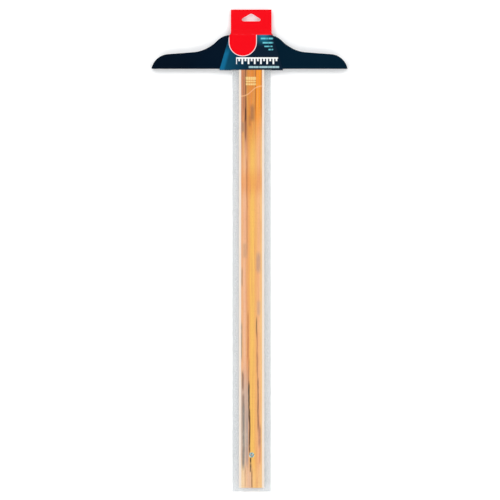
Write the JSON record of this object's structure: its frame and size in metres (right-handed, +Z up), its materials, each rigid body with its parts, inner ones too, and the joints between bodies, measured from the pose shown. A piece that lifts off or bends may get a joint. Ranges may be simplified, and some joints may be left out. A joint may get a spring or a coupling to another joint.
{
  "type": "t square",
  "caption": "Fixed-head T-square: a wooden blade with clear edges seated in an ogee-shaped plastic head, with a folded hang card round the head.",
  "frame": {"origin": "on the blade's centreline, at the head's working edge, on the blade's underside", "axes": "+X along the head to the right seen from above, +Y from the blade towards the head, +Z up out of the blade's face"},
  "size_m": [0.278, 0.6841, 0.0114],
  "materials": {
    "head_plastic": "satin moulded plastic, very dark navy",
    "blade_wood": "varnished straight-grained wood with dark streaks",
    "lining_wood": "pale varnished hardwood",
    "clear_plastic": "polished clear acrylic",
    "screw_steel": "zinc-plated countersunk screws",
    "eyelet_nickel": "bright nickel plate",
    "card_board": "printed and varnished board, red tab and navy panels"
  },
  "bodies": {
    "root": {"head": "head_plastic", "blade_core": "blade_wood", "edge_lining_left": "lining_wood", "edge_lining_right": "lining_wood", "clear_edge_left": "clear_plastic", "clear_edge_right": "clear_plastic", "clear_edge_end": "clear_plastic", "blade_screws": "screw_steel", "hang_eyelet": "eyelet_nickel", "eyelet_washer": "eyelet_nickel", "hang_card": "card_board"}
  },
  "joints": []
}
